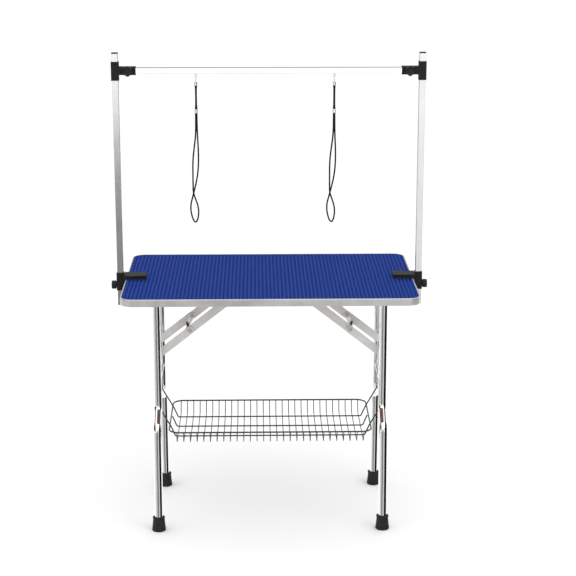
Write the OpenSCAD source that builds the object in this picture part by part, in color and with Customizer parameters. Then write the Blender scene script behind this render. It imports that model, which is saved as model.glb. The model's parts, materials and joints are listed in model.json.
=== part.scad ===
// Folding grooming table: ribbed mat on an edge-banded board, two folding leg frames with
// locking braces, a hanging wire basket, and a clamp-on overhead bar with two nooses.
// Millimetres. X runs along the top, -Y is the front, Z is up. The origin is on the floor
// under the middle of the top.

/* [Table top] */
// Length over the edge band
top_length = 915; // [905:5:925]
// Depth over the edge band
top_depth = 610; // [600:5:620]
// Height of the working surface above the floor
top_height = 790; // [785:1:795]
// Corner radius seen from above
corner_radius = 40; // [30:5:50]
// Thickness of the ribbed rubber mat
mat_thickness = 3.5; // [2.5:0.5:4]
// Thickness of the board
board_thickness = 18.5; // [16:0.5:19]

/* [Leg frames] */
// Distance of each folding axle from the middle
axle_x = 358; // [356:1:360]
// Outer radius of the leg tubes
tube_radius = 13.5; // [13:0.5:14]
// Distance of the upper leg tubes from the middle plane
upper_leg_y = 120; // [119:0.5:121]
// Centre-line radius of the bends
bend_radius = 32; // [30:1:34]
// Angle of each bend
bend_angle = 52; // [50:1:54]
// Slope of the lower leg tubes from the vertical
splay_angle = 3.1; // [2.5:0.1:3.5]
// Radius of the rubber feet at the floor
foot_radius = 22; // [20:1:23]

/* [Braces] */
// Depth of the brace bars
bar_depth = 25; // [22:1:25]
// Thickness of the brace bars
bar_thickness = 4; // [3:0.5:4]

/* [Wire basket] */
// Half length of the basket over its rim
basket_half_x = 326; // [320:1:328]
// Half depth of the basket over its rim
basket_half_y = 165; // [160:1:165]
// Number of cross wires
cross_wires = 29; // [21:2:31]

/* [Overhead bar] */
// Distance of each upright from the middle
upright_x = 475; // [474:1:477]
// Place of the uprights along the depth of the top
arm_y = -24; // [-30:1:0]
// Side of the square uprights
upright_side = 19; // [18:0.2:19.2]
// Top of the uprights above the floor
upright_top = 1501; // [1480:1:1520]
// Height of the cross rail's centre above the floor
rail_z = 1448.4; // [1442:0.2:1452]
// Side of the square cross rail
rail_side = 18; // [16:0.5:18]
// Places of the two nooses along the rail
noose_x = [-226.5, 202.5];
// Diameter of the noose cord
cord_diameter = 3; // [2.6:0.1:3.2]

/* [Hidden] */
$fn = 48;

CHROME = [0.80, 0.81, 0.83];
STEEL = [0.78, 0.78, 0.77];
BLACK = [0.10, 0.10, 0.11];

// Gap of a sliding or turning pin in its bore, and of a bar in a square sleeve
pin_gap = 0.05;
sleeve_gap = 0.3;
// Gap between the stretches of a bent tube
weld_gap = 0.05;

// Levels of the top, from the board's underside up
band_wall = 1.5;
lip_width = 4;
lip_thickness = 0.5;
board_top = top_height - mat_thickness;
board_under = board_top - board_thickness;

// Folding axle and its brackets
axle_z = board_under - 20;
axle_radius = 11;
tube_wall = 1.5;
plate = 2.5;
plate_under = board_under - plate;
ear_inner_y = upper_leg_y - 24;
ear_outer_y = upper_leg_y + 21.5;

// Bends of the leg tubes, down from the end of the upper straight
bend_top = axle_z - 349;
jog_length = 46;
foot_height = 46;
tube_end_z = 10;
stud_z = axle_z - 195;
peg_z = axle_z - 370;
peg_radius = 3.5;
crossbar_z = axle_z - 290;

// Brace pivots, as [x, z] on the left side
table_pivot = [252 - axle_x, axle_z + 2];
leg_pivot = [-axle_x, stud_z];
lower_link_length = 131.4;
brace_vector = table_pivot - leg_pivot;
mid_pivot = leg_pivot + brace_vector * lower_link_length / norm(brace_vector);
pivot_radius = 4;
upper_link_y = 85.5;
lower_link_y = 91;
lever_y = 81.5;
lever_thickness = 3;

// Basket levels and wires
rim_z = 316;
rim_wire = 2.5;
long_wire = 2.2;
cross_wire = 1.5;
rim_corner = 35;
floor_z = 281;
floor_half_x = 303;
floor_half_y = 139;
hanger_y = 94.5;
cross_wire_z = floor_z - long_wire - cross_wire - 0.1;
wire_pitch = 21.3;
finger_z = peg_z + peg_radius + long_wire + 0.3;

// Clamps and sleeves
sleeve_wall = 2;
sleeve_side = upright_side + 2 * (sleeve_gap + sleeve_wall);
sleeve_low = top_height - 38.5;
sleeve_high = top_height + 19;
jaw_half_y = 28;
jaw_end_x = 392;
jaw_under = top_height + 3;
arm_z = top_height - 64;
screw_x = 425;
knob_z = top_height - 22;
upright_low = top_height - 87;
upright_wall = 1.2;
tee_low = rail_z - 30;
tee_high = rail_z + 28;
tee_end_x = 411;
rail_knob_x = 435;
tee_half = rail_side / 2 + 3.5;
knob_height = 15;
knob_stand = 1.5;
stud_gap = 0.35;
jaw_thickness = 10;
clamp_screw_radius = 5;

// Nooses: the eye's centre, the pivot of the link in it, and the barrel that holds the cord
eye_z = rail_z - rail_side / 2 - 6.4;
eye_ring = 4;
eye_wire = 1.2;
link_z = eye_z - 1.3;
barrel_high = link_z - 18.7;
barrel_low = link_z - 29.7;
slider_z = link_z - 115.7;
slider_height = 12;

// The cord's route below its barrel: [x, y] from the noose's axis, and z on a barrel that ends at 1400
noose_route = [
    [-1.7, 0, 1400], [-1.7, 0, 1365], [-1.7, 0, 1330], [-1.7, 0, 1295], [-1.7, 0, 1260], [-3.4, 0, 1235],
    [-8, 0, 1205], [-11.5, 0, 1175], [-13, 0, 1145], [-13, -0.5, 1115], [-13, -1.6, 1088], [-12, -2.4, 1064],
    [-6, -2, 1044], [0, -0.8, 1026], [3, 0, 1008], [2.5, 0, 991], [-0.5, 0, 977], [-6, 0, 969],
    [-12.5, 0, 974], [-17.5, 0, 988], [-21, 0, 1007], [-20.5, 0.8, 1026], [-16, 2, 1045], [-11, 2.4, 1064],
    [-5, 1.6, 1088], [0.5, 0.5, 1115], [4, 0, 1145], [5, 0, 1175], [4.2, 0, 1205], [2.4, 0, 1235],
    [1.7, 0, 1260], [1.7, 0, 1295], [1.7, 0, 1330], [1.7, 0, 1365], [1.7, 0, 1400]];

// Placing helpers: the left side is drawn and mirrored for the right one
module on_side(side) {
    if (side < 0) children();
    else mirror([1, 0, 0]) children();
}

module on_arm(side) {
    translate([0, arm_y, 0]) on_side(side) children();
}

module front_and_rear() {
    children();
    mirror([0, 1, 0]) children();
}

module rounded_rectangle(length, depth, radius) {
    square([length - 2 * radius, depth], center = true);
    square([length, depth - 2 * radius], center = true);
    for (x = [-1, 1], y = [-1, 1])
        translate([x * (length / 2 - radius), y * (depth / 2 - radius)]) circle(radius);
}

module slab(inset, low, high) {
    translate([0, 0, low]) linear_extrude(high - low)
        rounded_rectangle(top_length - 2 * inset, top_depth - 2 * inset, corner_radius - inset);
}

// A bar or hole along Y from y0 to y1, at [x, z]
module rod_y(at, y0, y1, radius) {
    translate([at[0], y0, at[1]]) rotate([-90, 0, 0]) cylinder(r = radius, h = y1 - y0);
}

// A straight wire between two points
module wire(from, to, radius) {
    run = to - from;
    turn = atan2(run[1], run[0]);
    tilt = acos(run[2] / norm(run));
    translate(from) rotate([0, tilt, turn]) cylinder(r = radius, h = norm(run), $fn = 24);
}

// Table top
module table_board() {
    color([0.55, 0.42, 0.30]) slab(band_wall, board_under, board_top);
}

module ribbed_mat() {
    color([0.16, 0.25, 0.55]) slab(band_wall, board_top, top_height);
}

module edge_band() {
    color([0.74, 0.73, 0.73]) difference() {
        slab(0, board_under - lip_thickness, top_height + lip_thickness);
        slab(band_wall, board_under, top_height);
        slab(lip_width, 0, top_height + 10);
    }
}

// Ear of a bracket in the XZ plane, centred on its pin at [x, z]
module ear(at, y, half_width, bore) {
    difference() {
        union() {
            rod_y(at, y, y + plate, half_width);
            translate([at[0] - half_width, y, at[1]]) cube([2 * half_width, plate, plate_under - at[1]]);
        }
        rod_y(at, y - 1, y + plate + 1, bore);
    }
}

module hinge_brackets(side) {
    at = [-axle_x, axle_z];
    color(STEEL) on_side(side) front_and_rear() {
        translate([-axle_x - 24, ear_inner_y, plate_under])
            cube([48, ear_outer_y + plate - ear_inner_y, plate]);
        ear(at, ear_inner_y, 16, axle_radius + pin_gap);
        ear(at, ear_outer_y, 16, axle_radius + pin_gap);
    }
}

module brace_brackets(side) {
    color(STEEL) on_side(side) front_and_rear() {
        translate([table_pivot[0] - 20, upper_link_y - 4, plate_under]) cube([40, 12.5, plate]);
        ear(table_pivot, upper_link_y - 4, 11, pivot_radius);
        ear(table_pivot, upper_link_y + 6, 11, pivot_radius);
        rod_y(table_pivot, upper_link_y - 4, upper_link_y + 8.5, pivot_radius);
    }
}

module wood_screws() {
    spots = [[axle_x - 20, upper_leg_y], [axle_x + 20, upper_leg_y],
        [-table_pivot[0] - 16, upper_link_y + 2], [-table_pivot[0] + 16, upper_link_y + 2]];
    color(STEEL) for (spot = spots, x = [-1, 1], y = [-1, 1])
        translate([x * spot[0], y * spot[1], plate_under - 2]) cylinder(r = 3.5, h = 2, $fn = 24);
}

// Leg frames. The centre line of the rear tube of the left frame, in the YZ plane
jog_end_y = upper_leg_y + bend_radius * (1 - cos(bend_angle)) + jog_length * sin(bend_angle);
jog_end_z = bend_top - bend_radius * sin(bend_angle) - jog_length * cos(bend_angle);
lower_centre_y = jog_end_y - bend_radius * cos(bend_angle);
lower_centre_z = jog_end_z - bend_radius * sin(bend_angle);
lower_start_y = lower_centre_y + bend_radius * cos(splay_angle);
lower_start_z = lower_centre_z + bend_radius * sin(splay_angle);
lower_length = (lower_start_z - tube_end_z) / cos(splay_angle);
foot_y = lower_start_y + (lower_start_z - foot_height / 2) * tan(splay_angle);

// A round section, hollow where it has a bore
module section(radius, bore) {
    difference() {
        circle(radius);
        if (bore > 0) circle(bore);
    }
}

module bend(y, z, start, sweep, radius, bore) {
    translate([-axle_x, y, z]) rotate([90, 0, 90]) rotate([0, 0, start])
        rotate_extrude(angle = sweep) translate([bend_radius, 0]) section(radius, bore);
}

// The run of one leg tube: straight, bend, jog, bend, straight. A weld gap parts the stretches
module leg_run(radius, bore = 0, gap = 0) {
    translate([-axle_x, upper_leg_y, bend_top + gap])
        linear_extrude(axle_z - bend_top - gap) section(radius, bore);
    bend(upper_leg_y + bend_radius, bend_top, 180, bend_angle, radius, bore);
    translate([-axle_x, jog_end_y, jog_end_z]) rotate([bend_angle, 0, 0]) translate([0, 0, gap])
        linear_extrude(jog_length - 2 * gap) section(radius, bore);
    bend(lower_centre_y, lower_centre_z, splay_angle, bend_angle - splay_angle, radius, bore);
    translate([-axle_x, lower_start_y, lower_start_z]) rotate([180 + splay_angle, 0, 0])
        translate([0, 0, gap]) linear_extrude(lower_length - gap) section(radius, bore);
}

module leg_tube(side, end) {
    color(CHROME) on_side(side) mirror([0, end < 0 ? 1 : 0, 0]) difference() {
        leg_run(tube_radius, tube_radius - tube_wall, weld_gap);
        rod_y([-axle_x, axle_z], 0, 200, axle_radius);
    }
}

module axle_tube(side) {
    reach = ear_outer_y + plate + 3;
    color(CHROME) on_side(side) difference() {
        rod_y([-axle_x, axle_z], -reach, reach, axle_radius);
        rod_y([-axle_x, axle_z], -reach - 1, reach + 1, axle_radius - tube_wall);
    }
}

module leg_crossbar(side) {
    color(CHROME) on_side(side) difference() {
        rod_y([-axle_x, crossbar_z], -upper_leg_y, upper_leg_y, 8);
        rod_y([-axle_x, crossbar_z], -upper_leg_y - 1, upper_leg_y + 1, 6.5);
        front_and_rear() leg_run(tube_radius);
    }
}

module leg_studs(side) {
    color(STEEL) on_side(side) front_and_rear() difference() {
        union() {
            rod_y([-axle_x, peg_z], hanger_y + long_wire + 1.3, upper_leg_y, peg_radius);
            rod_y(leg_pivot, lower_link_y + bar_thickness + 0.6, upper_leg_y, 5);
        }
        leg_run(tube_radius);
    }
}

module rubber_feet(side) {
    color(BLACK) on_side(side) front_and_rear() difference() {
        translate([-axle_x, foot_y, 0]) union() {
            cylinder(r = foot_radius, h = 9);
            translate([0, 0, 9]) cylinder(r1 = foot_radius - 1, r2 = foot_radius - 3.5, h = foot_height - 15);
            translate([0, 0, foot_height - 6]) cylinder(r = foot_radius - 2.5, h = 6);
        }
        leg_run(tube_radius);
    }
}

// Braces
module bar(from, to, y, thickness, bores) {
    difference() {
        translate([0, y + thickness, 0]) rotate([90, 0, 0]) linear_extrude(thickness) hull()
            for (end = [from, to]) translate(end) circle(bar_depth / 2, $fn = 32);
        for (hole = bores) rod_y(hole[0], y - 1, y + thickness + 1, hole[1]);
    }
}

module upper_links(side) {
    bores = [[table_pivot, pivot_radius + pin_gap], [mid_pivot, pivot_radius]];
    color(STEEL) on_side(side) front_and_rear()
        bar(mid_pivot, table_pivot, upper_link_y, bar_thickness, bores);
}

module lower_links(side) {
    bores = [[mid_pivot, pivot_radius + pin_gap]];
    color(STEEL) on_side(side) front_and_rear()
        bar(leg_pivot, mid_pivot, lower_link_y, bar_thickness, bores);
}

module brace_rivets(side) {
    head_radius = 7.5;
    outer_face = lower_link_y + bar_thickness + 0.3;
    color(STEEL) on_side(side) {
        front_and_rear() {
            rod_y(mid_pivot, lever_y - 2.3, outer_face + 2, pivot_radius);
            rod_y(mid_pivot, outer_face, outer_face + 2, head_radius);
            rod_y(mid_pivot, lever_y - 2.3, lever_y - 0.3, head_radius);
        }
        rod_y(mid_pivot, -upper_link_y, -lever_y, head_radius - 1);
    }
}

// Spring catch that keeps the rear brace straight: a dog-leg plate on the mid rivet with a thumb tab
module latch_lever(side) {
    tab_half = 9;
    tab = mid_pivot + [-16, -57];
    plate_outline = [[-9, 4], [-14, -28], [-25, -57], [-7, -57], [2, -28], [9, -4]];
    color([0.16, 0.16, 0.17]) on_side(side) difference() {
        union() {
            rod_y(mid_pivot, lever_y, lever_y + lever_thickness, 10);
            translate([mid_pivot[0], lever_y + lever_thickness, mid_pivot[1]]) rotate([90, 0, 0])
                linear_extrude(lever_thickness) polygon(plate_outline);
            translate([tab[0] - tab_half, lever_y - tab_half, tab[1]])
                cube([2 * tab_half, tab_half + lever_thickness, 3]);
        }
        rod_y(mid_pivot, lever_y - 20, lever_y + 20, pivot_radius + pin_gap);
    }
}

// Clamp-on overhead bar
module square_bar(x, side_length, low, high) {
    translate([x - side_length / 2, -side_length / 2, low])
        cube([side_length, side_length, high - low]);
}

module rod_x(x0, x1, y, z, radius) {
    translate([x0, y, z]) rotate([0, 90, 0]) cylinder(r = radius, h = x1 - x0);
}

module clamp_frame(side) {
    inner_face = -upright_x + sleeve_side / 2;
    outer_face = -upright_x - sleeve_side / 2;
    hole = upright_side + 2 * sleeve_gap;
    color(BLACK) on_arm(side) difference() {
        union() {
            square_bar(-upright_x, sleeve_side, sleeve_low, sleeve_high);
            translate([inner_face, -jaw_half_y, jaw_under])
                cube([-jaw_end_x - inner_face, 2 * jaw_half_y, jaw_thickness]);
            translate([inner_face, -jaw_half_y, arm_z])
                cube([-top_length / 2 - 0.3 - inner_face, 2 * jaw_half_y, jaw_under - arm_z]);
            translate([inner_face, -16, arm_z]) cube([-screw_x + 17 - inner_face, 32, jaw_thickness]);
        }
        square_bar(-upright_x, hole, sleeve_low - 1, sleeve_high + 1);
        translate([-screw_x, 0, arm_z - 1])
            cylinder(r = clamp_screw_radius + pin_gap, h = jaw_thickness + 2);
        rod_x(outer_face - 1, -upright_x, 0, knob_z, pivot_radius + pin_gap);
    }
}

module clamp_pad(side) {
    color([0.20, 0.20, 0.21]) on_arm(side) translate([-450, -jaw_half_y, top_height])
        cube([58, 2 * jaw_half_y, jaw_under - top_height]);
}

module clamp_screw(side) {
    bar_z = arm_z - 24;
    disc_low = board_under - 4.3;
    color(CHROME) on_arm(side) {
        translate([-screw_x, 0, bar_z - clamp_screw_radius])
            cylinder(r = clamp_screw_radius, h = disc_low - bar_z + clamp_screw_radius);
        translate([-screw_x, 0, disc_low]) cylinder(r = 12, h = 4);
        rod_x(-screw_x - 22, -screw_x + 22, 0, bar_z, 3);
    }
}

// A round grip with shallow flutes and its stud, along -Z from the face it tightens on
module grip(radius, height, stud_length) {
    difference() {
        cylinder(r = radius, h = height);
        for (turn = [0:60:300])
            rotate([0, 0, turn]) translate([radius + 2, 0, -1]) cylinder(r = 4, h = height + 2, $fn = 24);
    }
    translate([0, 0, -stud_length]) cylinder(r = pivot_radius, h = stud_length);
}

module socket_knob(side) {
    face = -upright_x - sleeve_side / 2 - knob_stand;
    stud = -upright_x - upright_side / 2 - stud_gap - face;
    color(BLACK) on_arm(side) translate([face, 0, knob_z]) rotate([0, -90, 0])
        grip(13.5, knob_height, stud);
}

module upright(side) {
    color([0.80, 0.80, 0.80]) on_arm(side) difference() {
        square_bar(-upright_x, upright_side, upright_low, upright_top);
        square_bar(-upright_x, upright_side - 2 * upright_wall, upright_low - 1, upright_top + 1);
    }
}

module upright_cap(side) {
    color(BLACK) on_arm(side) {
        square_bar(-upright_x, upright_side + 1, upright_top, upright_top + 3);
        square_bar(-upright_x, upright_side - 2 * upright_wall, upright_top - 14, upright_top);
    }
}

module tee_bracket(side) {
    half = tee_half;
    inner_face = -upright_x + sleeve_side / 2;
    color(BLACK) on_arm(side) difference() {
        union() {
            square_bar(-upright_x, sleeve_side, tee_low, tee_high);
            translate([inner_face - 0.1, -half, rail_z - half])
                cube([-tee_end_x - inner_face + 0.1, 2 * half, 2 * half]);
        }
        square_bar(-upright_x, upright_side + 2 * sleeve_gap, tee_low - 1, tee_high + 1);
        translate([inner_face + 6, -rail_side / 2, rail_z - rail_side / 2])
            cube([100, rail_side, rail_side]);
        rod_y([-rail_knob_x, rail_z], -half - 1, -rail_side / 2 + 1, pivot_radius + pin_gap);
    }
}

module rail_knob(side) {
    stud = tee_half + knob_stand - rail_side / 2 - stud_gap;
    color(BLACK) on_arm(side) translate([-rail_knob_x, -tee_half - knob_stand, rail_z])
        rotate([90, 0, 0]) grip(16, knob_height, stud);
}

module cross_rail() {
    half_length = upright_x - sleeve_side / 2 - 6;
    color([0.85, 0.85, 0.86]) translate([0, arm_y, 0]) difference() {
        translate([-half_length, -rail_side / 2, rail_z - rail_side / 2])
            cube([2 * half_length, rail_side, rail_side]);
        translate([-half_length - 1, -rail_side / 2 + upright_wall, rail_z - rail_side / 2 + upright_wall])
            cube([2 * half_length + 2, rail_side - 2 * upright_wall, rail_side - 2 * upright_wall]);
    }
}

module rail_eyes() {
    color(CHROME) translate([0, arm_y, 0]) for (x = noose_x) {
        translate([x, 0, eye_z]) rotate([90, 0, 0]) rotate_extrude() translate([eye_ring, 0])
            circle(eye_wire, $fn = 24);
        translate([x, 0, eye_z + eye_ring]) cylinder(r = 1.5, h = rail_z - rail_side / 2 - eye_z - eye_ring);
    }
}

// The link turns about its own top wire, which lies in the eye
module noose_hook(side) {
    x = side < 0 ? noose_x[0] : noose_x[1];
    corners = [[x, -4, link_z], [x, 4, link_z], [x, 4, barrel_high + 1], [x, -4, barrel_high + 1]];
    color(CHROME) translate([0, arm_y, 0]) {
        for (i = [0:3]) wire(corners[i], corners[(i + 1) % 4], eye_wire);
        for (corner = corners) translate(corner) sphere(eye_wire, $fn = 24);
        translate([x, 0, barrel_low]) cylinder(r = 5.5, h = barrel_high - barrel_low);
    }
}

function unit(v) = v / norm(v);
function route_direction(points, i) =
    unit(points[min(i + 1, len(points) - 1)] - points[max(i - 1, 0)]);
function ring_points(centre, along, radius, sides) =
    let (across = unit(cross(along, [0, 1, 0])), other = cross(along, across))
    [for (k = [0:sides - 1])
        centre + radius * (cos(360 * k / sides) * across + sin(360 * k / sides) * other)];

// A closed tube swept along a route, one ring at each of its points
module swept_cord(points, radius, sides) {
    last = len(points) - 1;
    rings = [for (i = [0:last]) each ring_points(points[i], route_direction(points, i), radius, sides)];
    walls = [for (i = [0:last - 1], k = [0:sides - 1])
        [i * sides + k, i * sides + (k + 1) % sides, (i + 1) * sides + (k + 1) % sides, (i + 1) * sides + k]];
    start_cap = [for (k = [0:sides - 1]) sides - 1 - k];
    end_cap = [for (k = [0:sides - 1]) last * sides + k];
    polyhedron(rings, concat(walls, [start_cap, end_cap]));
}

module noose_cord(side) {
    x = side < 0 ? noose_x[0] : noose_x[1];
    drop = [x, arm_y, barrel_low - noose_route[0][2]];
    color(BLACK) swept_cord([for (point = noose_route) point + drop], cord_diameter / 2, 8);
}

module noose_slider(side) {
    x = side < 0 ? noose_x[0] : noose_x[1];
    slot_radius = cord_diameter / 2 + 0.4;
    strand = 1.7;
    end_radius = cord_diameter / 2 + 2.1;
    color(CHROME) translate([x, arm_y, slider_z]) difference() {
        union() {
            translate([-strand, -end_radius, 0]) cube([2 * strand, 2 * end_radius, slider_height]);
            for (dx = [-strand, strand]) translate([dx, 0, 0]) cylinder(r = end_radius, h = slider_height);
        }
        translate([-strand, -slot_radius, -1]) cube([2 * strand, 2 * slot_radius, slider_height + 2]);
        for (dx = [-strand, strand]) translate([dx, 0, -1]) cylinder(r = slot_radius, h = slider_height + 2);
    }
}

// Wire basket
module basket_rim() {
    x = basket_half_x - rim_wire;
    y = basket_half_y - rim_wire;
    color(BLACK) {
        for (s = [-1, 1]) {
            rod_x(-x + rim_corner, x - rim_corner, s * y, rim_z, rim_wire);
            rod_y([s * x, rim_z], -y + rim_corner, y - rim_corner, rim_wire);
        }
        for (turn = [0, 90, 180, 270])
            translate([(turn == 0 || turn == 270 ? 1 : -1) * (x - rim_corner),
                (turn < 135 ? 1 : -1) * (y - rim_corner), rim_z])
                rotate([0, 0, turn]) rotate_extrude(angle = 90) translate([rim_corner, 0]) circle(rim_wire);
    }
}

module basket_floor() {
    color(BLACK) {
        for (i = [0:cross_wires - 1])
            rod_y([(i - (cross_wires - 1) / 2) * wire_pitch, cross_wire_z], -floor_half_y, floor_half_y,
                cross_wire, $fn = 16);
        for (y = [-hanger_y, 0, hanger_y]) rod_x(-floor_half_x, floor_half_x, y, floor_z, long_wire);
    }
}

module basket_long_side(side) {
    color(BLACK) for (i = [0:cross_wires - 1]) {
        x = (i - (cross_wires - 1) / 2) * wire_pitch;
        wire([x, side * (floor_half_y + 1.5), cross_wire_z + 1.5],
            [x, side * (basket_half_y - 4.5), rim_z - rim_wire - 1], cross_wire);
    }
}

module basket_end(side) {
    color(BLACK) for (y = [-hanger_y, 0, hanger_y])
        wire([side * (floor_half_x + 1.5), y, floor_z + 1.5],
            [side * (basket_half_x - 4.5), y, rim_z - rim_wire - 1.5], long_wire);
}

module basket_hangers() {
    color(BLACK) for (side = [-1, 1], end = [-1, 1]) {
        top = [side * axle_x, end * hanger_y, finger_z];
        wire([side * (basket_half_x + 1.5), end * hanger_y, rim_z + rim_wire + 2.5], top, long_wire);
        translate(top) sphere(long_wire, $fn = 24);
        wire(top, [side * axle_x, end * (hanger_y + 10), finger_z], long_wire);
    }
}

table_board();
ribbed_mat();
edge_band();
hinge_brackets(-1);  // hinge_brackets_left
hinge_brackets(1);  // hinge_brackets_right
brace_brackets(-1);  // brace_brackets_left
brace_brackets(1);  // brace_brackets_right
wood_screws();
clamp_frame(-1);  // clamp_frame_left
clamp_frame(1);  // clamp_frame_right
clamp_pad(-1);  // clamp_pad_left
clamp_pad(1);  // clamp_pad_right
clamp_screw(-1);  // clamp_screw_left
clamp_screw(1);  // clamp_screw_right
socket_knob(-1);  // socket_knob_left
socket_knob(1);  // socket_knob_right
upright(-1);  // upright_left
upright(1);  // upright_right
upright_cap(-1);  // upright_cap_left
upright_cap(1);  // upright_cap_right
tee_bracket(-1);  // tee_bracket_left
tee_bracket(1);  // tee_bracket_right
rail_knob(-1);  // rail_knob_left
rail_knob(1);  // rail_knob_right
cross_rail();
rail_eyes();
noose_hook(-1);  // noose_hook_left
noose_hook(1);  // noose_hook_right
noose_cord(-1);  // noose_cord_left
noose_cord(1);  // noose_cord_right
noose_slider(-1);  // noose_slider_left
noose_slider(1);  // noose_slider_right
axle_tube(-1);  // axle_tube_left
axle_tube(1);  // axle_tube_right
leg_tube(-1, -1);  // leg_tube_front_left
leg_tube(1, -1);  // leg_tube_front_right
leg_tube(-1, 1);  // leg_tube_rear_left
leg_tube(1, 1);  // leg_tube_rear_right
leg_crossbar(-1);  // leg_crossbar_left
leg_crossbar(1);  // leg_crossbar_right
leg_studs(-1);  // leg_studs_left
leg_studs(1);  // leg_studs_right
rubber_feet(-1);  // rubber_feet_left
rubber_feet(1);  // rubber_feet_right
upper_links(-1);  // upper_links_left
upper_links(1);  // upper_links_right
lower_links(-1);  // lower_links_left
lower_links(1);  // lower_links_right
brace_rivets(-1);  // brace_rivets_left
brace_rivets(1);  // brace_rivets_right
latch_lever(-1);  // latch_lever_left
latch_lever(1);  // latch_lever_right
basket_rim();
basket_floor();
basket_long_side(-1);  // basket_front
basket_long_side(1);  // basket_back
basket_end(-1);  // basket_end_left
basket_end(1);  // basket_end_right
basket_hangers();
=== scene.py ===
"""Looks of a folding grooming table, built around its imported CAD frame. Metres throughout."""
import json
import math

import bmesh
import bpy
from mathutils import Matrix, Vector

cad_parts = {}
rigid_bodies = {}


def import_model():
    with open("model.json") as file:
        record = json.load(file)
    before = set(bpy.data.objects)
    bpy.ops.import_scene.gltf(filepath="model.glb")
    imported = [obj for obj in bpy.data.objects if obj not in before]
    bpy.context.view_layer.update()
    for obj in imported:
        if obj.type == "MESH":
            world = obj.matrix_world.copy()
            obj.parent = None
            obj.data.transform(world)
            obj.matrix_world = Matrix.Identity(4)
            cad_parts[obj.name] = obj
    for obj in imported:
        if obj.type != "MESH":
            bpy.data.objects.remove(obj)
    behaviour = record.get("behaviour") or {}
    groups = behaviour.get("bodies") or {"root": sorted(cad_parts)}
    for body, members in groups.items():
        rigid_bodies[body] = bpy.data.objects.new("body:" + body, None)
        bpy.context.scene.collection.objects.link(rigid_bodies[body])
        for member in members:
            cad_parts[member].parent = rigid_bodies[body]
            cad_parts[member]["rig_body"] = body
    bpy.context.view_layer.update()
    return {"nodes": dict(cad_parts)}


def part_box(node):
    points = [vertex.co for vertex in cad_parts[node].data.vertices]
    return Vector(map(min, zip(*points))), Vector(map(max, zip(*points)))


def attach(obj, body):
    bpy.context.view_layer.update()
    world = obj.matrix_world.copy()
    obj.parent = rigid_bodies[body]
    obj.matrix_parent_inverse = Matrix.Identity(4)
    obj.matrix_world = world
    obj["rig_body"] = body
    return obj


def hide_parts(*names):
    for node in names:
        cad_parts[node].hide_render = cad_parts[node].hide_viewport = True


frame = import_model()
NODES = frame["nodes"]
SIDES = {"left": -1, "right": 1}
ENDS = {"front": -1, "rear": 1}


# ---------------------------------------------------------------- camera and cords

def place_camera():
    """The camera stands in front of the table, above its top, and looks slightly down."""
    camera_data = bpy.data.cameras.new("camera")
    camera_data.lens = 98.0
    camera_data.sensor_width = 36.0
    camera = bpy.data.objects.new("camera", camera_data)
    camera.location = (-0.0406, -4.886, 1.9916)
    pitch = math.radians(14.279)
    yaw = math.radians(1.171)
    camera.rotation_euler = (math.pi / 2 - pitch, 0.0, -yaw)
    bpy.context.scene.collection.objects.link(camera)
    bpy.context.scene.camera = camera


# The cord's route below its barrel: x and y from the noose's axis, and z on a barrel that ends at 1.400
NOOSE_ROUTE = [
    (-0.0017, 0, 1.400), (-0.0008, 0.0024, 1.385), (-0.0008, 0.0024, 1.345), (-0.0017, 0, 1.328),
    (-0.0017, 0, 1.310), (-0.0019, 0, 1.285), (-0.0024, 0, 1.260), (-0.0042, 0, 1.235), (-0.008, 0, 1.205),
    (-0.0115, 0, 1.175), (-0.013, 0, 1.145), (-0.013, -0.0010, 1.115),
    (-0.013, -0.0022, 1.088), (-0.012, -0.0028, 1.064), (-0.006, -0.0028, 1.044), (0, -0.0016, 1.026),
    (0.003, 0, 1.008), (0.0025, 0, 0.991), (-0.0005, 0, 0.977), (-0.006, 0, 0.969), (-0.0125, 0, 0.974),
    (-0.0175, 0, 0.988), (-0.021, 0, 1.007), (-0.0205, 0.0016, 1.026), (-0.016, 0.0028, 1.045),
    (-0.011, 0.0028, 1.064), (-0.005, 0.0022, 1.088), (0.0005, 0.0010, 1.115), (0.004, 0, 1.145),
    (0.005, 0, 1.175), (0.0046, 0, 1.205), (0.0032, 0, 1.235), (0.0024, 0, 1.260), (0.0019, 0, 1.285),
    (0.0017, 0, 1.310), (0.0017, 0, 1.328), (0.0008, -0.0024, 1.345), (0.0008, -0.0024, 1.385),
    (0.0017, 0, 1.400)]
CORD_DIAMETER = 0.005
STRAND_OFFSET = 0.0017


# ---------------------------------------------------------------- mesh helpers

def new_object(name, mesh, body, slot, look, replaced=(), smooth_angle=35):
    """Links a mesh as a piece that rides on a body, and stands for CAD nodes where it names them."""
    piece = bpy.data.objects.new(name, mesh)
    bpy.context.scene.collection.objects.link(piece)
    for polygon in mesh.polygons:
        polygon.use_smooth = True
    mesh.set_sharp_from_angle(angle=math.radians(smooth_angle))
    mesh.materials.clear()
    mesh.materials.append(look)
    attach(piece, body)
    if replaced:
        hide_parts(*replaced)
    return piece


def mesh_from(name, build):
    """A mesh made by a function that fills a bmesh."""
    shape = bmesh.new()
    build(shape)
    bmesh.ops.recalc_face_normals(shape, faces=shape.faces)
    mesh = bpy.data.meshes.new(name)
    shape.to_mesh(mesh)
    shape.free()
    return mesh


def new_piece(name, build, *args, **kwargs):
    """A new object whose mesh a function fills."""
    return new_object(name, mesh_from(name, build), *args, **kwargs)


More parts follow.
